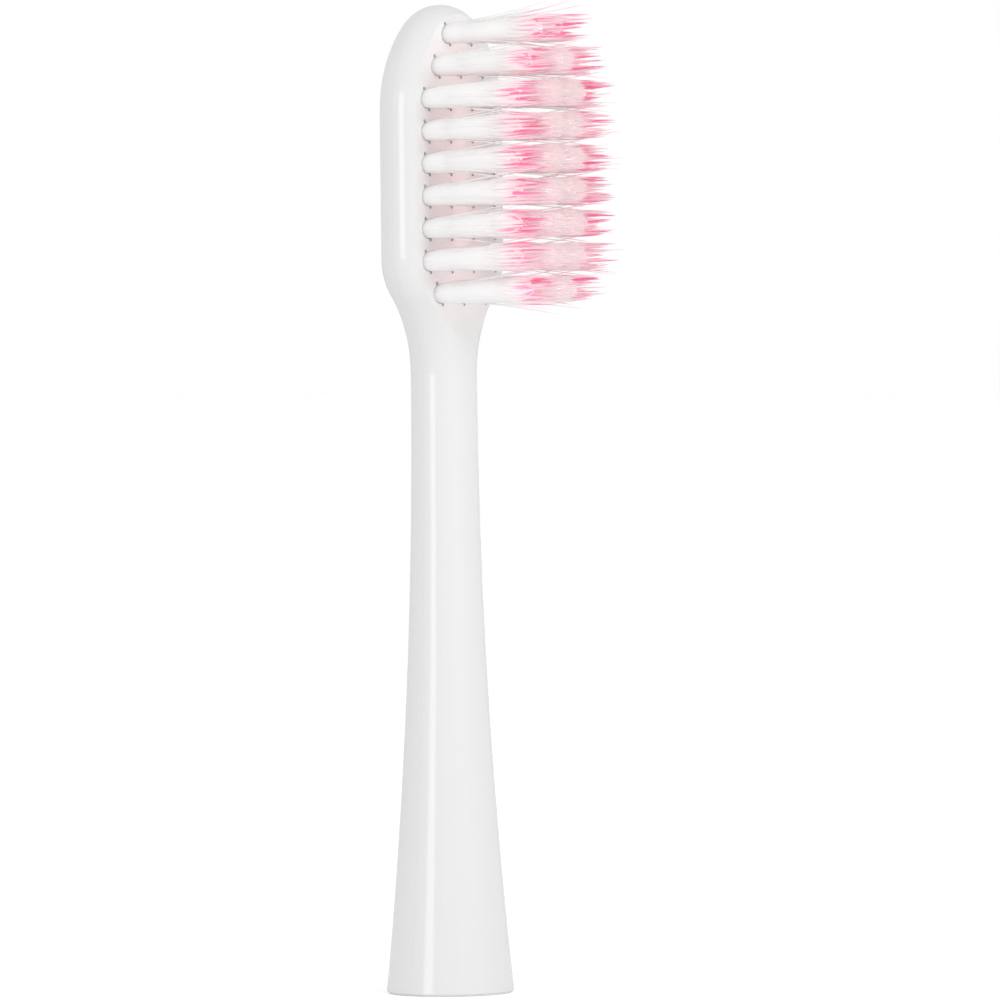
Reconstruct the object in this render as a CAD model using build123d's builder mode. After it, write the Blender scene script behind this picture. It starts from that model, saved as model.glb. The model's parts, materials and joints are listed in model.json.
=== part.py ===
"""Push-on brush head for an electric toothbrush: a moulded body, its bristle tufts and their anchors.

Millimetres. The origin is the centre of the open base, +Z runs up the neck to the tip and +X is the way
the bristles point, so Y runs across the head and the mould's parting plane is X = 0.
"""

from build123d import *
from math import acos, asin, atan, cos, degrees, pi
import os

# Neck: a round stem that flares down to the base along one large arc
base_radius = 4.8
base_edge_chamfer = 0.2
neck_radius = 2.48
flare_height = 45.0
neck_straight = 1.4

# Socket in the base: a recess for the handle's collar, a round guide and a D-shaped key above it
skirt_wall = 1.3
collar_depth = 5.0
shaft_radius = 1.75
guide_length = 9.0
key_radius = 1.55
key_flat = 1.1
key_length = 9.0

# Tuft field: the tufts in each row from the tip down, and the grid that they stand on
row_counts = (2, 3, 4, 4, 4, 4, 4, 4, 3)
row_pitch = 2.42
column_pitch = 2.55
hole_radius = 0.73
hole_sides = 12
last_row_rise = 6.0
tip_margin = 2.24

# Head: a paddle as thick as the neck with fully round edges, and a flat face set back from the neck's front
rim_wall = 1.25
back_wall = 1.23
face_step = 0.73
face_run_out_lead = 0.4
face_run_out_radius = 10.0
shoulder_inner_radius = 8.0
shoulder_outer_radius = 5.0
nose_length = 8.0
nose_radius = 4.2

# Bristles: each tuft is a bundle that opens a little above the face and ends in a crown of tapered points
bristle_length = 11.4
inner_bristle_length = 10.9
point_length = 2.6
outer_point_drop = 0.35
tuft_gap = 0.26
root_clearance = 0.03
crown_points = 6
crown_ring_share = 0.62
point_share = 0.3

# Anchors: flat metal plates that hold each folded tuft down and bite into the wall of its hole
anchor_bite = 0.2
anchor_thickness = 0.2
anchor_height = 1.0
anchor_turn = 20.0
anchor_clearance = 0.02
fold_thickness = 0.45

# Heights along the body
shoulder_height = flare_height + neck_straight
last_row_z = shoulder_height + last_row_rise
tip_z = last_row_z + (len(row_counts) - 1) * row_pitch + tip_margin
face_foot_z = last_row_z + face_run_out_lead
nose_start = tip_z - nose_length

# Sizes across the head, and the depth of its face and holes
columns = max(row_counts)
head_half_width = (columns - 1) / 2 * column_pitch + hole_radius + rim_wall
face_x = neck_radius - face_step
hole_depth = face_x + neck_radius - back_wall
hole_floor_x = face_x - hole_depth

# Turns of the head's outline: two shoulder arcs, then a side arc that runs into the round nose
shoulder_spread = head_half_width - neck_radius
shoulder_turn = degrees(acos(1 - shoulder_spread / (shoulder_inner_radius + shoulder_outer_radius)))
nose_rise = nose_length - nose_radius
nose_spread = head_half_width - nose_radius
nose_side_radius = (head_half_width**2 + nose_rise**2 - nose_radius**2) / (2 * nose_spread)
nose_side_turn = degrees(asin(nose_rise / (nose_side_radius - nose_radius)))
run_out_turn = degrees(acos(1 - 2 * face_step / face_run_out_radius))

# Socket, tuft and anchor sizes
collar_radius = base_radius - skirt_wall
guide_foot = collar_depth + collar_radius - shaft_radius
guide_top = guide_foot + guide_length
root_radius = hole_radius - root_clearance
crown_radius = (min(row_pitch, column_pitch) - tuft_gap) / 2
crown_growth = (crown_radius - root_radius) * cos(pi / hole_sides)
crown_ring_radius = crown_radius * crown_ring_share
point_radius = crown_radius * point_share
anchor_width = 2 * (hole_radius + anchor_bite)
anchor_floor_x = hole_floor_x + fold_thickness
slit_thickness = anchor_thickness + 2 * anchor_clearance
slit_width = anchor_width + 2 * anchor_clearance


def across(x):
    """Plane across the bristles at a place along X, with its own axes along Y and Z."""
    return Plane(origin=(x, 0, 0), x_dir=(0, 1, 0), z_dir=(1, 0, 0))


def row_tufts(row, count):
    """Name, place and kind of each tuft in a row, from -Y to +Y."""
    z = last_row_z + (len(row_counts) - 1 - row) * row_pitch
    return [
        (
            f"tuft_row{row + 1}_{'abcd'[i]}",
            ((i - (count - 1) / 2) * column_pitch, z),
            "inner" if 0 < i < count - 1 else "outer",
        )
        for i in range(count)
    ]


tufts = [tuft for row, count in enumerate(row_counts) for tuft in row_tufts(row, count)]
tuft_places = [place for _, place, _ in tufts]

os.makedirs("parts", exist_ok=True)

# Body: one moulding, with the face, tuft holes and socket cut in it
with BuildPart() as brush_body:
    # Half of the head: a flat plate, and a half-round edge swept along the plate's outline
    with BuildSketch(Plane.YZ) as plate:
        with BuildLine():
            foot = (0, shoulder_height)
            rise = JernArc(foot, (0, 1), shoulder_inner_radius + neck_radius, -shoulder_turn)
            shoulder = JernArc(rise @ 1, rise % 1, shoulder_outer_radius - neck_radius, shoulder_turn)
            side = Line(shoulder @ 1, (head_half_width - neck_radius, nose_start))
            nose_side = JernArc(side @ 1, side % 1, nose_side_radius - neck_radius, nose_side_turn)
            nose = JernArc(nose_side @ 1, nose_side % 1, nose_radius - neck_radius, 90 - nose_side_turn)
            Line(nose @ 1, foot)
        make_face()
    extrude(amount=neck_radius, both=True)
    with BuildSketch(Plane.XY.offset(shoulder_height)):
        with BuildLine():
            half_round = CenterArc((0, 0), neck_radius, 0, 180)
            Line(half_round @ 1, half_round @ 0)
        make_face()
    sweep(path=Wire(plate.sketch.edges().sort_by(Axis.Y)[1:]))
    mirror(about=Plane.XZ)

    # Neck and base, turned about Z
    with BuildSketch(Plane.XZ) as neck_profile:
        with BuildLine():
            flare = TangentArc((neck_radius, flare_height), (base_radius, 0), tangent=(0, -1))
            Polyline(flare @ 1, (0, 0), (0, shoulder_height), (neck_radius, shoulder_height), flare @ 0)
        make_face()
        chamfer(neck_profile.vertices().sort_by(Axis.X)[-1], base_edge_chamfer)
    revolve(axis=Axis.Z)

    # The face is a flat cut that runs out of the front of the neck along an arc
    with BuildSketch(Plane.XZ):
        with BuildLine():
            flat = Line((face_x, tip_z + neck_radius), (face_x, face_foot_z))
            run_out = JernArc(flat @ 1, flat % 1, face_run_out_radius, run_out_turn)
            clear_x = 2 * neck_radius
            Polyline(run_out @ 1, (clear_x, (run_out @ 1).Y), (clear_x, tip_z + neck_radius), flat @ 0)
        make_face()
    extrude(amount=2 * head_half_width, both=True, mode=Mode.SUBTRACT)

    # Tuft holes, each with the slit that its anchor cuts on the way in
    with BuildSketch(across(neck_radius)):
        with Locations(*tuft_places):
            RegularPolygon(hole_radius, hole_sides)
            Rectangle(slit_thickness, slit_width, rotation=anchor_turn)
    extrude(amount=-(face_step + hole_depth), mode=Mode.SUBTRACT)

    # Socket: collar recess, lead-in cone and round guide turned in one profile, then the D-shaped key
    with BuildSketch(Plane.XZ):
        with BuildLine():
            Polyline(
                (0, 0),
                (collar_radius, 0),
                (collar_radius, collar_depth),
                (shaft_radius, guide_foot),
                (shaft_radius, guide_top),
                (0, guide_top),
                close=True,
            )
        make_face()
    revolve(axis=Axis.Z, mode=Mode.SUBTRACT)
    with BuildSketch(Plane.XY.offset(guide_top)):
        Circle(key_radius)
        with Locations((-key_flat, 0)):
            Rectangle(
                2 * key_radius, 2 * key_radius, align=(Align.MAX, Align.CENTER), mode=Mode.SUBTRACT
            )
    extrude(amount=key_length, mode=Mode.SUBTRACT)

brush_body.part.label = "brush_body"
export_step(brush_body.part, "parts/brush_body.step")

# Tufts: one form for each length, folded at its foot round the anchor and open towards its crown of points
bundles = {}
for kind, length in (("outer", bristle_length), ("inner", inner_bristle_length)):
    tip_x = face_x + length
    crown_x = tip_x - point_length
    with BuildPart() as bundle:
        with BuildSketch(across(face_x)):
            RegularPolygon(root_radius, hole_sides)
        opening = crown_x - face_x
        extrude(amount=opening)
        draft(bundle.faces().sort_by(Axis.X)[1:-1], across(face_x), -degrees(atan(crown_growth / opening)))
        with BuildSketch(across(hole_floor_x)):
            RegularPolygon(root_radius, hole_sides)
        extrude(amount=hole_depth)
        with BuildSketch(across(crown_x), mode=Mode.PRIVATE) as middle_foot:
            RegularPolygon(point_radius, crown_points)
        loft([middle_foot.sketch, Vertex(tip_x, 0, 0)], ruled=True)
        for spot in PolarLocations(crown_ring_radius, crown_points):
            with BuildSketch(across(crown_x), mode=Mode.PRIVATE) as point_foot:
                with Locations(spot):
                    RegularPolygon(point_radius, 3)
            point_tip = Vertex(tip_x - outer_point_drop, spot.position.X, spot.position.Y)
            loft([point_foot.sketch, point_tip], ruled=True)
        with BuildSketch(across(anchor_floor_x)):
            Rectangle(slit_thickness, slit_width, rotation=anchor_turn)
        extrude(amount=anchor_height + anchor_clearance, mode=Mode.SUBTRACT)
    bundles[kind] = bundle.part

for name, (y, z), kind in tufts:
    with BuildPart() as tuft:
        with Locations((0, y, z)):
            add(bundles[kind])
    tuft.part.label = name
    export_step(tuft.part, f"parts/{name}.step")

# Anchors: identical plates, one in the fold of each tuft
with BuildPart() as tuft_anchors:
    with BuildSketch(across(anchor_floor_x)):
        with Locations(*tuft_places):
            Rectangle(anchor_thickness, anchor_width, rotation=anchor_turn)
    extrude(amount=anchor_height)

tuft_anchors.part.label = "tuft_anchors"
export_step(tuft_anchors.part, "parts/tuft_anchors.step")
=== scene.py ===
"""Dresses the brush head: finishes for its body and anchors, tufts of single bristles, and the stage.

Lengths are in metres, in the frame's own axes: +Z runs up the neck and +X is the way the bristles point.
"""

import json
import math
import random

import bpy
from mathutils import Matrix, Vector


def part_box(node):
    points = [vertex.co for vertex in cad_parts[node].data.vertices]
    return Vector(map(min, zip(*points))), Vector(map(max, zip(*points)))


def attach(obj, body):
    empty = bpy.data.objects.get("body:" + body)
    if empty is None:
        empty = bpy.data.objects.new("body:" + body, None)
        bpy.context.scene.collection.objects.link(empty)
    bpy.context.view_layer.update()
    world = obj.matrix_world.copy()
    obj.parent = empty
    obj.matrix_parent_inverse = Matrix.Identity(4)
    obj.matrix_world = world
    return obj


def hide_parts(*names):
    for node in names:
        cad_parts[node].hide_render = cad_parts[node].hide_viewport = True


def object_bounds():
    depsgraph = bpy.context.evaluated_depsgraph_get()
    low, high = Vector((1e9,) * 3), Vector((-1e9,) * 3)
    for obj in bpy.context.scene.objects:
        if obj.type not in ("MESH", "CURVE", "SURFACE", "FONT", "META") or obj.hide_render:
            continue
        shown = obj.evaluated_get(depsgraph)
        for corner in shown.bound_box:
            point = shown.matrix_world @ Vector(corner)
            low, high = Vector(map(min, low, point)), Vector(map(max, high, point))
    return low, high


bl_info = {
    "name": "Brush head",
    "version": (1, 0, 0),
    "blender": (4, 5, 0),
    "location": "View3D > Sidebar > Brush head",
    "description": "Finishes an electric toothbrush head and sets it on a plain studio stage",
    "category": "Object",
}

MM = 0.001

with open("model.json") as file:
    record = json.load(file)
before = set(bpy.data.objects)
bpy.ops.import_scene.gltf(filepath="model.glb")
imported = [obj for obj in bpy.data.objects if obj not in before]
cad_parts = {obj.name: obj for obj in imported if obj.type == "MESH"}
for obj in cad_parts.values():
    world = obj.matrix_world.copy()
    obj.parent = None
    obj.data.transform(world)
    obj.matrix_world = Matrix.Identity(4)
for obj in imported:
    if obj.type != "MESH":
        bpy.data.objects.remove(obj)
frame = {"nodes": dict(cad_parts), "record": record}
CAD_LOW, CAD_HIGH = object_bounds()
NODES = frame["nodes"]
# Where the longest bristles end along X, and the top corner of the anchors that hold the tufts
TIP_X = CAD_HIGH.x
_, ANCHOR_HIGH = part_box("tuft_anchors")
# The tufts, and the lowest and highest corner of the field that they stand in
TUFT_NODES = sorted(name for name in NODES if name.startswith("tuft_row"))
TUFT_BOXES = [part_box(name) for name in TUFT_NODES]
FIELD_LOW = Vector([min(low[axis] for low, _ in TUFT_BOXES) for axis in range(3)])
FIELD_HIGH = Vector([max(high[axis] for _, high in TUFT_BOXES) for axis in range(3)])


def srgb(red, green, blue):
    """A linear colour from the eight-bit values that a screen shows."""

    def linear(level):
        screen = level / 255
        return screen / 12.92 if screen <= 0.04045 else ((screen + 0.055) / 1.055) ** 2.4

    return (linear(red), linear(green), linear(blue))


def length(name, description, default):
    """A length property in metres."""
    return bpy.props.FloatProperty(
        name=name, description=description, default=default, unit="LENGTH", precision=5
    )


def offset(name, description, default):
    """A property for where something stands from something else, in metres."""
    return bpy.props.FloatVectorProperty(
        name=name, description=description, default=default, size=3, unit="LENGTH", subtype="TRANSLATION"
    )


def number(name, description, default):
    """A whole-number property."""
    return bpy.props.IntProperty(name=name, description=description, default=default, min=1)


def watts(name, description, default):
    """A property for a lamp's power."""
    return bpy.props.FloatProperty(
        name=name, description=description, default=default, unit="POWER", precision=5
    )


def share(name, description, default):
    """A property that is a share of something, from 0 to 1."""
    return bpy.props.FloatProperty(
        name=name, description=description, default=default, min=0, max=1, subtype="FACTOR"
    )


def colour(name, description, default):
    """A colour property."""
    return bpy.props.FloatVectorProperty(
        name=name, description=description, default=default, size=3, min=0, max=1, subtype="COLOR"
    )


def angle(name, description, degrees):
    """An angle property."""
    return bpy.props.FloatProperty(
        name=name, description=description, default=math.radians(degrees), subtype="ANGLE"
    )


class BodySettings(bpy.types.PropertyGroup):
    """Sizes and colours of the moulded body and the anchors"""

    plastic: colour("Plastic", "Colour of the moulded body", srgb(233, 233, 233))
    roughness: share("Roughness", "How dull the moulded surface is", 0.13)
    seam_width: length("Seam width", "Width of the mould's parting line", 0.07 * MM)
    seam_shade: share("Seam shade", "How much darker the parting line is", 0.03)
    anchor_metal: colour("Anchor metal", "Colour of the tuft anchors", srgb(196, 178, 140))


class BristleSettings(bpy.types.PropertyGroup):
    """Sizes and colours of the bristle tufts"""

    face_x: length("Face", "Where the flat face of the head is along X", 1.75 * MM)
    strands: number("Strands", "Bristles round the outside of a tuft's bundle", 22)
    outer_points: number("Outer points", "Tapered points round the end of an outer tuft", 18)
    inner_points: number("Inner points", "Tapered points inside the end of an outer tuft", 9)
    inner_strands: number("Inner strands", "Single bristles in the end of an inner tuft", 150)
    round_off: length("Round-off", "How much shorter an inner tuft is at its rim", 0.5 * MM)
    trim: length("Trim", "How much the bristles' lengths in an inner tuft differ", 0.3 * MM)
    strand_radius: length("Strand radius", "Radius of one bristle", 0.045 * MM)
    point_radius: length("Point radius", "Radius of the thickest part of a point", 0.155 * MM)
    root_radius: length("Root radius", "Radius of a tuft where it leaves the face", 0.69 * MM)
    crown_radius: length("Crown radius", "Radius of an outer tuft at its tips", 1.14 * MM)
    point_start: share("Point start", "Where along an outer tuft its points start", 0.54)
    uneven: length("Uneven tips", "How much the bristles' lengths in an outer tuft differ", 3.0 * MM)
    inner_crown_radius: length("Inner crown radius", "Radius of an inner tuft at its tips", 1.07 * MM)
    fly_aways: number("Fly-aways", "Bristles that stand off from an outer tuft", 8)
    fly: length("Fly", "How far those stand off at most", 1.3 * MM)
    wander: length("Wander", "How far a bristle's tip strays from its place", 0.1 * MM)
    lean: length("Lean", "How far up the tufts lean at their tips", 0.36 * MM)
    core_end: share("Core end", "How far along the bristles of an outer tuft lie close together", 0.78)
    inner_core_end: share("Inner core end", "The same for a tuft inside the field", 0.9)
    root_white: colour("Root", "Colour of the outer tufts at the face", srgb(250, 248, 247))
    blush: colour("Blush", "Colour of the bristles half-way along", srgb(255, 244, 246))
    pink: colour("Pink", "Colour of the tips of the outer tufts", srgb(255, 232, 239))
    deep_pink: colour("Deep pink", "Colour of the strongest streaks", srgb(255, 146, 188))
    pale_pink: colour("Pale pink", "Colour of the inner tufts", srgb(255, 247, 248))
    sheer: share("Sheer", "How much of the light goes through the nylon", 1.0)
    sheer_depth: length("Sheer depth", "How far light goes through the nylon", 1.5 * MM)
    pink_start: share("Pink start", "Where along the bristles the pink starts", 0.645)
    pink_full: share("Pink full", "Where along the bristles the pink is full", 0.83)


class StageSettings(bpy.types.PropertyGroup):
    """Floor, lights and camera"""

    floor: colour("Floor", "Colour of the floor", srgb(245, 245, 245))
    floor_glow: share("Floor glow", "How much brighter the camera sees the floor than it is lit", 0.27)
    ambient: share("Ambient", "Light from all round", 0.8)
    strip_turn: angle("Strip turn", "How far to the right of the camera the strip light stands", -41)
    strip_distance: length("Strip distance", "How far from the neck it stands", 500 * MM)
    strip_rise: length("Strip rise", "How far above the middle of the neck it stands", 70 * MM)
    strip_width: length("Strip width", "Width of the strip light", 160 * MM)
    strip_height: length("Strip height", "Height of the strip light", 200 * MM)
    strip_power: watts("Strip power", "Power of the strip light", 0.27)
    side_place: offset("Side place", "Where the side light stands from the tips", (0.18, -0.045, 0.03))
    side_size: length("Side size", "Width and height of the side light", 140 * MM)
    side_power: watts("Side power", "Power of the side light", 0.115)
    tip_place: offset("Tip place", "Where the light on the tips stands from them", (0.29, -0.05, 0.01))
    tip_cone: angle("Tip cone", "Angle of the cone of light on the tips", 5.2)
    tip_power: watts("Tip power", "Power of the light on the tips", 6.5)
    glow: colour("Glow", "Colour of the light that the tufts pass on to the face", (1.0, 0.86, 0.855))
    glow_rise: length("Glow rise", "How far above the face that light is", 1.5 * MM)
    glow_width: share("Glow width", "How much of the tuft field's width it fills", 0.5)
    glow_power: watts("Glow power", "Power of that light", 0.00023)
    azimuth: angle("Azimuth", "Where the camera stands round the object", 38.7)
    camera_distance: length("Distance", "How far off the camera stands", 740 * MM)
    camera_rise: length("Rise", "How far the camera stands above the point it looks at", 21 * MM)
    frame_width: length("Frame", "Width of the view at the object", 74.9 * MM)
    aim_height: length("Aim height", "Height of the point in the middle of the view", 36.9 * MM)
    aim_right: length("Aim right", "How far that point lies to the right of the axis", 4.1 * MM)
    roll: angle("Roll", "Turn of the camera about its view", -0.62)


class Signal:
    """A shader socket: arithmetic on it adds Math nodes, and make() adds any other node.

    A node's sockets go by name, or by number where several of them share a name."""

    def __init__(self, tree, socket=None):
        self.tree = tree
        self.socket = socket

    def make(self, kind, settings=None, sockets=None, output=0):
        """Adds a node with its settings, then its sockets' values or links, and returns one output."""
        node = self.tree.nodes.new(kind)
        for name, value in (settings or {}).items():
            setattr(node, name, value)
        for name, value in (sockets or {}).items():
            if isinstance(value, Signal):
                self.tree.links.new(value.socket, node.inputs[name])
            else:
                node.inputs[name].default_value = value
        return Signal(self.tree, node.outputs[output] if node.outputs else None)

    def maths(self, operation, *values):
        """A Math node with this operation on the values."""
        return self.make("ShaderNodeMath", {"operation": operation}, dict(enumerate(values)))

    def blend(self, first, second):
        """A colour that goes from the first to the second as this signal goes from 0 to 1."""
        return self.make(
            "ShaderNodeMix", {"data_type": "RGBA"}, {0: self, 6: first, 7: second}, output=2
        )

    def step(self, low, high):
        """0 below low, 1 above high and a smooth rise between them."""
        return self.make(
            "ShaderNodeMapRange",
            {"interpolation_type": "SMOOTHSTEP"},
            {"Value": self, "From Min": low, "From Max": high},
        )

    def __add__(self, other):
        return self.maths("ADD", self, other)

    def __radd__(self, other):
        return self.maths("ADD", other, self)

    def __sub__(self, other):
        return self.maths("SUBTRACT", self, other)

    def __rsub__(self, other):
        return self.maths("SUBTRACT", other, self)

    def __mul__(self, other):
        return self.maths("MULTIPLY", self, other)

    def __truediv__(self, other):
        return self.maths("DIVIDE", self, other)

    def __abs__(self):
        return self.maths("ABSOLUTE", self)


def opaque(rgb):
    """A property's colour with full alpha, as a socket takes it."""
    return (*rgb, 1.0)


def new_material(name):
    """An empty node material and the signal to build it with."""
    material = bpy.data.materials.new(name)
    material.use_nodes = True
    material.node_tree.nodes.clear()
    return material, Signal(material.node_tree)


def object_place(signal):
    """A point's Object coordinates."""
    return signal.make("ShaderNodeTexCoord", output="Object")


def along_x(place):
    """Where a point is along X."""
    return place.make("ShaderNodeSeparateXYZ", {}, {"Vector": place})


def noise(place, scale, detail):
    """A cloudy signal between 0 and 1."""
    return place.make("ShaderNodeTexNoise", {}, {"Vector": place, "Scale": scale, "Detail": detail})


def finish_surface(shader):
    """Ends a material with its shader."""
    shader.make("ShaderNodeOutputMaterial", {}, {"Surface": shader})


# Plastic: where the parting line starts to fade, as a share of its width, how high the line and the grain
# stand in the bump, and how much a faint ripple changes the roughness
SEAM_FADE = 0.3
SEAM_HEIGHT = 0.6
GRAIN_HEIGHT = 0.12
RIPPLE = 0.06
# Metal: its roughness where it is brightest, and how much duller it gets
METAL_ROUGHNESS = 0.3
METAL_WEAR = 0.15
# Nylon: how far a bristle's tint moves its dye along it, how long the softer changes along it are, the
# tints between which a bristle goes from pale to strong, and its roughness at the face and fall to the tips
TINT_SHIFT = 0.1
SOFT_RUN = 0.12
PALE_TINT = 0.3
STRONG_TINT = 0.95
NYLON_ROUGHNESS = 0.42
NYLON_POLISH = 0.08
# Refractive indices
PLASTIC_IOR = 1.49
NYLON_IOR = 1.53


def moulded_plastic(settings):
    """Glossy white plastic with the mould's fine parting line at X = 0."""
    material, signal = new_material("moulded_plastic")
    place = object_place(signal)
    seam = 1 - (abs(along_x(place)) / settings.seam_width).step(SEAM_FADE, 1.0)
    ripple = noise(place, scale=260.0, detail=2.0)
    grain = noise(place, scale=5200.0, detail=1.0)
    plastic = opaque(settings.plastic)
    shaded = opaque([level * (1 - settings.seam_shade) for level in settings.plastic])
    relief = seam * SEAM_HEIGHT + grain * GRAIN_HEIGHT
    normal = signal.make("ShaderNodeBump", {}, {"Strength": 0.05, "Distance": 0.04 * MM, "Height": relief})
    shader = signal.make(
        "ShaderNodeBsdfPrincipled",
        {},
        {
            "Base Color": seam.blend(plastic, shaded),
            "Roughness": settings.roughness + (ripple - 0.5) * RIPPLE,
            "IOR": PLASTIC_IOR,
            "Normal": normal,
        },
    )
    finish_surface(shader)
    return material


def anchor_metal(settings):
    """Drawn metal, dull from the press."""
    material, signal = new_material("anchor_metal")
    wear = noise(object_place(signal), scale=900.0, detail=3.0)
    shader = signal.make(
        "ShaderNodeBsdfPrincipled",
        {},
        {
            "Base Color": opaque(settings.anchor_metal),
            "Metallic": 1.0,
            "Roughness": METAL_ROUGHNESS + wear * METAL_WEAR,
        },
    )
    finish_surface(shader)
    return material


def filament(name, settings, root, tip, streak, sheer_end):
    """Nylon that is white at the face and turns to the tip colours, with each bristle its own shade.

    Light goes through it where the bristles lie close together, up to a share of their length."""
    material, signal = new_material(name)
    x = along_x(object_place(signal))
    tint = signal.make("ShaderNodeAttribute", {"attribute_name": "strand_tint"}, output="Fac")
    straight = (x - settings.face_x) / (TIP_X - settings.face_x)
    along = straight + (tint - 0.5) * TINT_SHIFT
    middle = (settings.pink_start + settings.pink_full) / 2
    blushing = along.step(settings.pink_start - SOFT_RUN, middle)
    reddening = along.step(settings.pink_start, settings.pink_full)
    tips = tint.step(PALE_TINT, STRONG_TINT).blend(opaque(tip), opaque(streak))
    pale = blushing.blend(opaque(root), opaque(settings.blush))
    nylon = {
        "Base Color": reddening.blend(pale, tips),
        "Roughness": NYLON_ROUGHNESS - along * NYLON_POLISH,
        "IOR": NYLON_IOR,
    }
    plain = signal.make("ShaderNodeBsdfPrincipled", {}, nylon)
    if not sheer_end:
        finish_surface(plain)
        return material
    sheer = signal.make(
        "ShaderNodeBsdfPrincipled",
        {},
        {
            **nylon,
            "Subsurface Weight": settings.sheer,
            "Subsurface Radius": (1.0, 1.0, 1.0),
            "Subsurface Scale": settings.sheer_depth,
        },
    )
    closeness = 1 - straight.step(sheer_end - SOFT_RUN, sheer_end)
    finish_surface(signal.make("ShaderNodeMixShader", {}, {0: closeness, 1: plain, 2: sheer}))
    return material


def take_material(node, material):
    """Gives a CAD node one material."""
    node.data.materials.clear()
    node.data.materials.append(material)


class BRUSH_OT_finish_body(bpy.types.Operator):
    """Give the moulded body its glossy white plastic"""

    bl_idname = "brush.finish_body"
    bl_label = "Finish body"

    def execute(self, context):
        take_material(NODES["brush_body"], moulded_plastic(context.scene.brush_body))
        return {"FINISHED"}


class BRUSH_OT_finish_anchors(bpy.types.Operator):
    """Give the tuft anchors their drawn metal"""

    bl_idname = "brush.finish_anchors"
    bl_label = "Finish anchors"

    def execute(self, context):
        take_material(NODES["tuft_anchors"], anchor_metal(context.scene.brush_body))
        return {"FINISHED"}


# Places along a rod from its foot to its tip, and its radius there as a share of its own full radius
STRAND_STEPS = ((0.0, 1.0), (0.3, 1.0), (0.6, 1.0), (0.8, 0.85), (0.92, 0.5), (1.0, 0.12))
POINT_STEPS = ((0.0, 0.6), (0.25, 0.95), (0.45, 1.0), (0.65, 0.66), (0.85, 0.32), (1.0, 0.06))
# The same for the close-packed bundle of a tuft, as a share of the tuft's radius there: an outer one
# thins out among its points, and an inner one is trimmed round
POINTED_STEPS = (
    (0.0, 0.97), (0.15, 0.98), (0.3, 0.98), (0.5, 0.97),
    (0.75, 0.93), (0.88, 0.85), (0.95, 0.68), (1.0, 0.2)
)
ROUND_STEPS = (
    (0.0, 0.97), (0.15, 1.0), (0.4, 1.0), (0.7, 1.0),
    (0.84, 0.98), (0.91, 0.9), (0.96, 0.73), (0.99, 0.45), (1.0, 0.2)
)
# Bevel resolution that gives a bristle six sides
ROD_BEVEL = 1
# Points of a tuft's outline for each of its outer bristles, and how deep the flute between two of them is
LOBE_POINTS = 3
FLUTE_DEPTH = 0.035
# How a tuft widens and leans from the face to its tips: most of it near the face
FLARE = 0.5
# How the bristles' lengths are spread: below 1 most are short, above 1 most are long
TIP_SPREAD = 1.05
# How far the outermost points of a tuft draw together again at their tips
GATHER = 0.25
# How far the feet of an outer tuft's points, single bristles and fly-aways are sunk into it
POINT_SINK = 0.22
STRAND_SINK = 0.08
FLY_SINK = 0.12
# The disc that the inner points of an outer tuft and the bristles of an inner one fill
POINT_DISC = 0.7
STRAND_DISC = 0.94
# How far below the end of the bundle those start, and where along a tuft its fly-aways do
POINT_DEPTH = 0.2
STRAND_DEPTH = 0.3
FLY_START = 0.15
# Radius of a fly-away, as a share of a bristle's, and the least share of the way that one stands off
FLY_FINENESS = 0.75
FLY_LEAST = 0.4
# Dye: its patches round a tuft, how far they stray from an even spacing, how far each reaches, how strong
# it is there and how much more a bristle takes by chance
DYE_PATCHES = 4
PATCH_STRAY = 0.25
PATCH_REACH = 0.45
PATCH_TINT = 0.88
CHANCE_TINT = 0.14
GOLDEN_TURN = math.pi * (3 - math.sqrt(5))


def disc_spot(index, count):
    """Evenly spread places in a disc of radius 1, as seeds lie in a flower."""
    radius = math.sqrt((index + 0.5) / count)
    return Vector((math.cos(index * GOLDEN_TURN), math.sin(index * GOLDEN_TURN))) * radius


def rim_spot(index, count):
    """Evenly spread places on a circle of radius 1."""
    turn = 2 * math.pi * index / count
    return Vector((math.cos(turn), math.sin(turn)))


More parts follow.
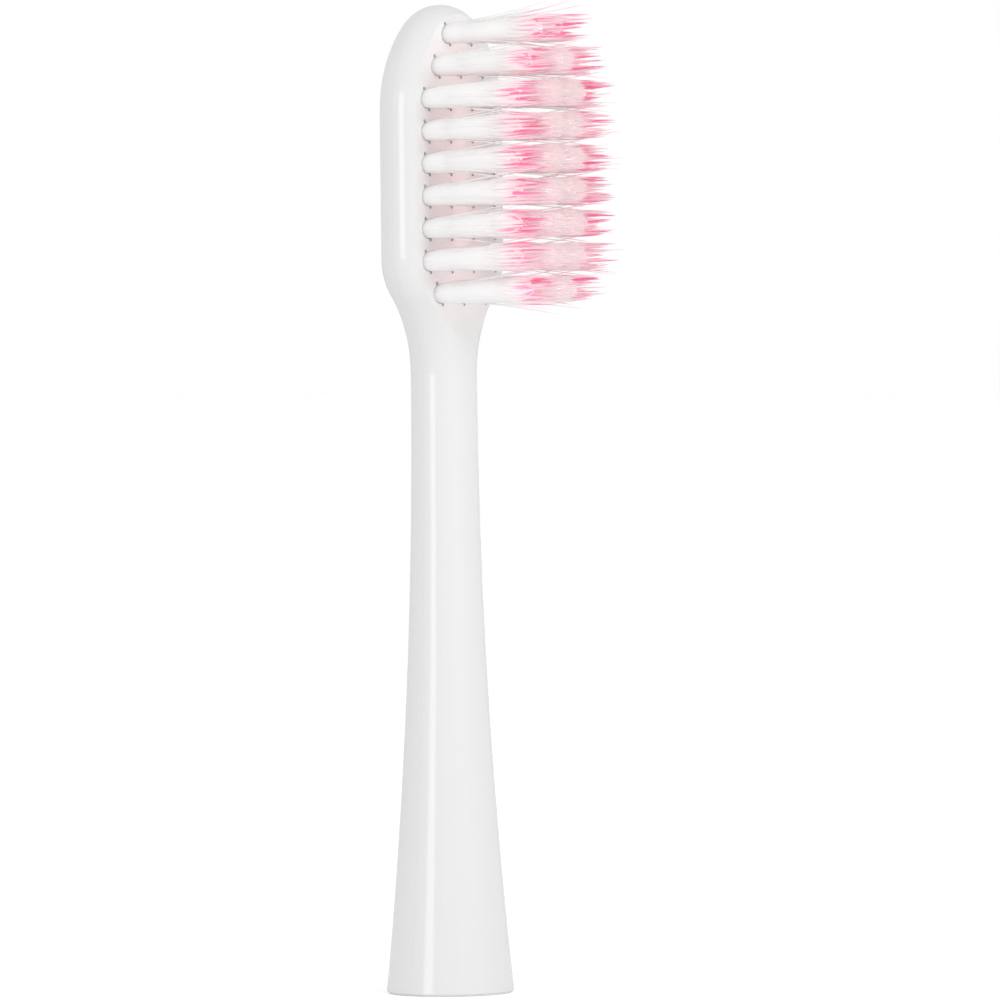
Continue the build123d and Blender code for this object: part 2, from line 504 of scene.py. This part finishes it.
class Tuft:
    """The place, reach and dye of one tuft, which its core and bristles share"""

    def __init__(self, settings, node, seed, dyed):
        low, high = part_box(node)
        self.settings = settings
        self.steps = POINTED_STEPS if dyed else ROUND_STEPS
        self.crown = settings.crown_radius if dyed else settings.inner_crown_radius
        self.core_end = settings.core_end if dyed else settings.inner_core_end
        self.chance = random.Random(seed)
        self.centre = Vector(((low.y + high.y) / 2, (low.z + high.z) / 2))
        self.reach = high.x
        first = self.chance.random()
        self.dyed = [
            rim_spot(first + i + self.chance.uniform(-PATCH_STRAY, PATCH_STRAY), DYE_PATCHES)
            for i in range(DYE_PATCHES)
        ]

    def fan(self, above):
        """The tuft's radius at a share of its length above the face."""
        root = self.settings.root_radius
        return root + (self.crown - root) * above**FLARE

    def at(self, x, aside):
        """A point at a place along X, beside the tuft's own leaning axis."""
        lean = self.settings.lean * self.above(x) ** FLARE
        return (x, self.centre.x + aside.x, self.centre.y + aside.y + lean)

    def above(self, x):
        """The share of the tuft's length above the face at a place along X, and 0 below the face."""
        return max(0.0, (x - self.settings.face_x) / (self.reach - self.settings.face_x))

    def along(self, above):
        """The place along X at a share of the tuft's length above the face."""
        return self.settings.face_x + (self.reach - self.settings.face_x) * above

    def core(self):
        """Points and radii of the core, from the anchor to where the bristles part."""
        end = self.along(self.core_end)
        points = []
        for step, fill in self.steps:
            x = ANCHOR_HIGH.x + (end - ANCHOR_HIGH.x) * step
            points.append((self.at(x, Vector((0, 0))), self.fan(self.above(x)) * fill))
        return points

    def rod(self, spot, foot, steps, radius, uneven, stray, sink=0.0, gather=0.0):
        """Points and radii of one rod at its spot in the tuft, sunk into it at the foot."""
        tip = self.reach - self.chance.random() ** TIP_SPREAD * uneven
        points = []
        for step, fullness in steps:
            x = foot + (tip - foot) * step
            above = self.above(x)
            drawn_in = (1 - sink * (1 - step)) * (1 - gather * step**2)
            aside = spot * self.fan(above) * drawn_in + stray * above**2
            points.append((self.at(x, aside), radius * fullness))
        return points

    def rods(self, spots, foot, steps, radius, sink=0.0, gather=0.0):
        """A rod at each of these spots, with its own length and its tip a little astray."""
        uneven = self.settings.uneven
        return [self.rod(spot, foot, steps, radius, uneven, self.wander(), sink, gather) for spot in spots]

    def wander(self):
        """How far one bristle's tip is from its place, by chance."""
        return Vector((self.chance.gauss(0, 1), self.chance.gauss(0, 1))) * self.settings.wander

    def fly_away(self):
        """A bristle's spot and how far it stands off from its tuft."""
        spot = rim_spot(self.chance.random(), 1)
        return spot, spot * self.chance.uniform(FLY_LEAST, 1.0) * self.settings.fly

    def tint(self, spot):
        """How strongly a bristle at a spot is dyed: strong in patches, and a little by chance."""
        near = min((spot - patch).length for patch in self.dyed)
        patch = math.exp(-((near / PATCH_REACH) ** 2))
        return min(1.0, PATCH_TINT * patch + CHANCE_TINT * self.chance.random())


def flute_outline(lobes):
    """A closed outline of radius 1 with a flute between each bristle and the next."""
    curve = bpy.data.curves.new("flutes", "CURVE")
    curve.dimensions = "2D"
    spline = curve.splines.new("POLY")
    spline.points.add(lobes * LOBE_POINTS - 1)
    spline.use_cyclic_u = True
    for index, point in enumerate(spline.points):
        turn = 2 * math.pi * index / len(spline.points)
        reach = 1 - FLUTE_DEPTH if index % LOBE_POINTS == 0 else 1
        point.co = (math.cos(turn) * reach, math.sin(turn) * reach, 0, 1)
    outline = bpy.data.objects.new("flutes", curve)
    bpy.context.scene.collection.objects.link(outline)
    return outline


def curves_to_mesh(name, curves, outline=None):
    """One mesh of rods, from curves that give each rod's points and radii, round or with an outline."""
    curve = bpy.data.curves.new(name, "CURVE")
    curve.dimensions = "3D"
    curve.use_fill_caps = True
    if outline:
        curve.bevel_mode = "OBJECT"
        curve.bevel_object = outline
    else:
        curve.bevel_depth = 1.0
        curve.bevel_resolution = ROD_BEVEL
    for points in curves:
        spline = curve.splines.new("POLY")
        spline.points.add(len(points) - 1)
        for target, (place, radius) in zip(spline.points, points):
            target.co = (*place, 1.0)
            target.radius = radius
    rods = bpy.data.objects.new(name, curve)
    bpy.context.scene.collection.objects.link(rods)
    bpy.ops.object.select_all(action="DESELECT")
    rods.select_set(True)
    bpy.context.view_layer.objects.active = rods
    bpy.ops.object.convert(target="MESH")
    bpy.ops.object.shade_smooth()
    return bpy.context.view_layer.objects.active


def write_tints(piece, tints):
    """Writes a dye tint for each vertex."""
    attribute = piece.data.attributes.new("strand_tint", "FLOAT", "POINT")
    attribute.data.foreach_set("value", tints)


def tint_rods(rods, tints):
    """Gives each rod its own tint."""
    per_rod = len(rods.data.vertices) // len(tints)
    if per_rod * len(tints) != len(rods.data.vertices):
        raise RuntimeError(f"{rods.name} has rods of different sizes")
    write_tints(rods, [tint for tint in tints for _ in range(per_rod)])


def tint_lobes(bundle, tuft, lobes):
    """Gives each lobe of a bundle the tint of the bristle it stands for."""
    tints = [tuft.tint(rim_spot(i, lobes)) for i in range(lobes)]
    whole = 2 * math.pi
    shown = []
    for vertex in bundle.data.vertices:
        _, y, z = tuft.at(vertex.co.x, Vector((0, 0)))
        turn = math.atan2(vertex.co.z - z, vertex.co.y - y) % whole
        shown.append(tints[int(turn / whole * lobes) % lobes])
    write_tints(bundle, shown)


def tapered_ends(tuft):
    """Spots and rods of an outer tuft's end: points round it and inside it, and single bristles."""
    settings = tuft.settings
    outer = [rim_spot(i, settings.outer_points) for i in range(settings.outer_points)]
    inner = [disc_spot(i, settings.inner_points) * POINT_DISC for i in range(settings.inner_points)]
    loose = [rim_spot(i, settings.strands) for i in range(settings.strands)]
    start = tuft.along(settings.point_start)
    inner_start = tuft.along(tuft.core_end - POINT_DEPTH)
    point = settings.point_radius
    rods = tuft.rods(outer, start, POINT_STEPS, point, POINT_SINK, GATHER)
    rods += tuft.rods(inner, inner_start, POINT_STEPS, point)
    rods += tuft.rods(loose, start, STRAND_STEPS, settings.strand_radius, STRAND_SINK, GATHER)
    flying = [tuft.fly_away() for _ in range(settings.fly_aways)]
    fly_start = tuft.along(FLY_START)
    hair = settings.strand_radius * FLY_FINENESS
    for spot, stray in flying:
        rods.append(tuft.rod(spot, fly_start, STRAND_STEPS, hair, settings.uneven, stray, FLY_SINK))
    return outer + inner + loose + [spot for spot, _ in flying], rods


def round_ends(tuft):
    """Spots and rods of an inner tuft's end: fine bristles that stand just out of its round."""
    settings = tuft.settings
    spots = [disc_spot(i, settings.inner_strands) * STRAND_DISC for i in range(settings.inner_strands)]
    start = tuft.along(tuft.core_end - STRAND_DEPTH)
    hair = settings.strand_radius
    rods = []
    for spot in spots:
        rod = tuft.rod(spot, start, STRAND_STEPS, hair, uneven=0.0, stray=tuft.wander())
        shorter = settings.round_off * spot.length_squared + tuft.chance.random() * settings.trim
        rods.append([((x - shorter, y, z), radius) for (x, y, z), radius in rod])
    return spots, rods


def grow_tuft(settings, node, seed, dyed, outline):
    """One tuft as two pieces: the close-packed bundle, and the points and loose bristles at its end."""
    tuft = Tuft(settings, node, seed, dyed)
    bundle = curves_to_mesh(node + "_bundle", [tuft.core()], outline)
    tint_lobes(bundle, tuft, settings.strands)
    spots, rods = tapered_ends(tuft) if dyed else round_ends(tuft)
    ends = curves_to_mesh(node + "_ends", rods)
    tint_rods(ends, [tuft.tint(spot) for spot in spots])
    return bundle, ends


class BRUSH_OT_plant_tufts(bpy.types.Operator):
    """Grow each tuft as bristles that fan out from its hole"""

    bl_idname = "brush.plant_tufts"
    bl_label = "Plant tufts"

    def execute(self, context):
        settings = context.scene.brush_bristles
        slots = {row["node"]: row["material_slot"] for row in frame["record"]["subparts"]}
        dyes = {
            "pink_filament": (settings.root_white, settings.pink, settings.deep_pink),
            "pale_filament": (settings.pale_pink, settings.pale_pink, settings.pale_pink),
        }
        sheer_ends = {"pink_filament": settings.point_start, "pale_filament": settings.inner_core_end}
        bundles = {name: filament(name, settings, *dyes[name], sheer_ends[name]) for name in dyes}
        loose_ends = {name: filament(name + "_ends", settings, *dyes[name], 0.0) for name in dyes}
        outline = flute_outline(settings.strands)
        for seed, node in enumerate(TUFT_NODES):
            name = slots[node]
            bundle, ends = grow_tuft(settings, node, seed, name == "pink_filament", outline)
            bundle.data.materials.append(bundles[name])
            ends.data.materials.append(loose_ends[name])
            for piece in (bundle, ends):
                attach(piece, "root")
                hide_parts(node)
        bpy.data.objects.remove(outline)
        return {"FINISHED"}


# How soft the edge of a spot's cone is, and the radius of the spot's lamp
SPOT_BLEND = 0.4
SPOT_RADIUS = 0.03
# Light goes back and forth many times between the close white bristles
MAX_BOUNCES = 24
DIFFUSE_BOUNCES = 20
FLOOR_SIZE = 4.0
CLIP_START = 0.01
CLIP_END = 20.0


def hang_light(kind, name, place, aim, power):
    """A light that looks at a point and isn't seen itself, nor mirrored."""
    bpy.ops.object.light_add(type=kind, location=place)
    lamp = bpy.context.object
    lamp.name = name
    lamp.data.energy = power
    lamp.visible_camera = False
    lamp.visible_glossy = False
    lamp.rotation_euler = (Vector(aim) - Vector(place)).to_track_quat("-Z", "Y").to_euler()
    return lamp


def area_light(name, place, aim, power, width, height):
    """A rectangular soft light."""
    lamp = hang_light("AREA", name, place, aim, power)
    lamp.data.shape = "RECTANGLE"
    lamp.data.size = width
    lamp.data.size_y = height
    return lamp


def spot_light(name, place, aim, power, cone):
    """A soft-edged cone of light."""
    lamp = hang_light("SPOT", name, place, aim, power)
    lamp.data.spot_size = cone
    lamp.data.spot_blend = SPOT_BLEND
    lamp.data.shadow_soft_size = SPOT_RADIUS
    return lamp


def light_alone(lamp, node):
    """Makes a lamp light one CAD node alone, past everything that stands before it."""
    lit = bpy.data.collections.new(lamp.name)
    lit.objects.link(node)
    lamp.light_linking.receiver_collection = lit
    lamp.light_linking.blocker_collection = lit


def light_past(lamp, node):
    """Makes a lamp light everything but one CAD node."""
    unlit = bpy.data.collections.new(lamp.name)
    unlit.objects.link(node)
    unlit.collection_objects[0].light_linking.link_state = "EXCLUDE"
    lamp.light_linking.receiver_collection = unlit


class BRUSH_OT_set_stage(bpy.types.Operator):
    """Set the floor, the soft studio lights and the camera"""

    bl_idname = "brush.set_stage"
    bl_label = "Set stage"

    def execute(self, context):
        settings = context.scene.brush_stage
        scene = context.scene
        scene.view_settings.view_transform = "Standard"
        scene.cycles.max_bounces = MAX_BOUNCES
        scene.cycles.diffuse_bounces = DIFFUSE_BOUNCES
        bpy.ops.object.select_all(action="DESELECT")
        self.lay_floor(settings)
        self.light_world(scene, settings)
        turn = settings.azimuth
        right = Vector((math.cos(turn), math.sin(turn), 0))
        towards = Vector((math.sin(turn), -math.cos(turn), 0))
        self.hang_lights(settings, scene.brush_bristles.face_x, right, towards)
        self.place_camera(scene, settings, right, towards)
        return {"FINISHED"}

    def lay_floor(self, settings):
        """A paper floor that the camera sees brighter than it is lit, so that it runs into the backdrop."""
        bpy.ops.mesh.primitive_plane_add(size=FLOOR_SIZE, location=(0, 0, 0))
        floor = bpy.context.object
        floor.name = "floor"
        material, signal = new_material("floor_paper")
        paper = signal.make(
            "ShaderNodeBsdfDiffuse", {}, {"Color": opaque(settings.floor), "Roughness": 0.5}
        )
        seen = signal.make("ShaderNodeLightPath", output="Is Camera Ray")
        glow = signal.make("ShaderNodeEmission", {}, {"Strength": seen * settings.floor_glow})
        finish_surface(signal.make("ShaderNodeAddShader", {}, {0: paper, 1: glow}))
        floor.data.materials.append(material)

    def light_world(self, scene, settings):
        """Even light from all round, behind which the camera sees a white backdrop."""
        world = bpy.data.worlds.new("studio")
        world.use_nodes = True
        world.node_tree.nodes.clear()
        scene.world = world
        signal = Signal(world.node_tree)
        seen = signal.make("ShaderNodeLightPath", output="Is Camera Ray")
        strength = settings.ambient + seen * (1 - settings.ambient)
        sky = signal.make("ShaderNodeBackground", {}, {"Color": (1, 1, 1, 1), "Strength": strength})
        signal.make("ShaderNodeOutputWorld", {}, {"Surface": sky})

    def hang_lights(self, settings, face_x, right, towards):
        """A strip that the plastic mirrors, a soft light from the right, and two lights for the tufts:
        one on their tips, and the pink glow that they pass on to the face of the head."""
        body = NODES["brush_body"]
        neck = Vector((0, 0, CAD_HIGH.z / 2))
        strip = right * math.sin(settings.strip_turn) + towards * math.cos(settings.strip_turn)
        strip_place = neck + strip * settings.strip_distance + Vector((0, 0, settings.strip_rise))
        strip_lamp = area_light(
            "strip_light",
            strip_place,
            neck,
            settings.strip_power,
            settings.strip_width,
            settings.strip_height,
        )
        strip_lamp.visible_glossy = True
        middle = (FIELD_LOW + FIELD_HIGH) / 2
        tips = Vector((TIP_X, 0, middle.z))
        side_place = tips + Vector(settings.side_place)
        side = settings.side_size
        area_light("side_light", side_place, tips, settings.side_power, side, side)
        tip_place = tips + Vector(settings.tip_place)
        tip_lamp = spot_light("tip_light", tip_place, tips, settings.tip_power, settings.tip_cone)
        light_past(tip_lamp, body)
        face = Vector((face_x, 0, middle.z))
        field = FIELD_HIGH - FIELD_LOW
        glow_place = face + Vector((settings.glow_rise, 0, 0))
        glow_width = field.y * settings.glow_width
        glow = area_light("glow", glow_place, face, settings.glow_power, glow_width, field.z)
        glow.data.color = settings.glow
        light_alone(glow, body)

    def place_camera(self, scene, settings, right, towards):
        """The photograph's view: from a distance, a little from above and slightly rolled."""
        aim = Vector((0, 0, settings.aim_height)) + right * settings.aim_right
        place = aim + towards * settings.camera_distance + Vector((0, 0, settings.camera_rise))
        bpy.ops.object.camera_add(location=place)
        camera = bpy.context.object
        facing = (aim - place).to_track_quat("-Z", "Y").to_matrix().to_4x4()
        facing = facing @ Matrix.Rotation(settings.roll, 4, "Z")
        camera.matrix_world = Matrix.Translation(place) @ facing
        away = (aim - place).length
        camera.data.lens = camera.data.sensor_width * away / settings.frame_width
        camera.data.clip_start = CLIP_START
        camera.data.clip_end = CLIP_END
        scene.camera = camera


class BRUSH_PT_panel(bpy.types.Panel):
    """The steps that dress the brush head, in order"""

    bl_idname = "BRUSH_PT_panel"
    bl_label = "Brush head"
    bl_space_type = "VIEW_3D"
    bl_region_type = "UI"
    bl_category = "Brush head"

    def draw(self, context):
        for operator in OPERATORS:
            self.layout.operator(operator.bl_idname)


SETTINGS = {
    "brush_body": BodySettings,
    "brush_bristles": BristleSettings,
    "brush_stage": StageSettings,
}
OPERATORS = (BRUSH_OT_finish_body, BRUSH_OT_finish_anchors, BRUSH_OT_plant_tufts, BRUSH_OT_set_stage)
CLASSES = (*SETTINGS.values(), *OPERATORS, BRUSH_PT_panel)


def register():
    for item in CLASSES:
        bpy.utils.register_class(item)
    for name, settings in SETTINGS.items():
        setattr(bpy.types.Scene, name, bpy.props.PointerProperty(type=settings))


def unregister():
    for name in SETTINGS:
        delattr(bpy.types.Scene, name)
    for item in reversed(CLASSES):
        bpy.utils.unregister_class(item)


def main():
    register()
    bpy.ops.brush.finish_body()
    bpy.ops.brush.finish_anchors()
    bpy.ops.brush.plant_tufts()
    bpy.ops.brush.set_stage()


if __name__ == "__main__":
    main()
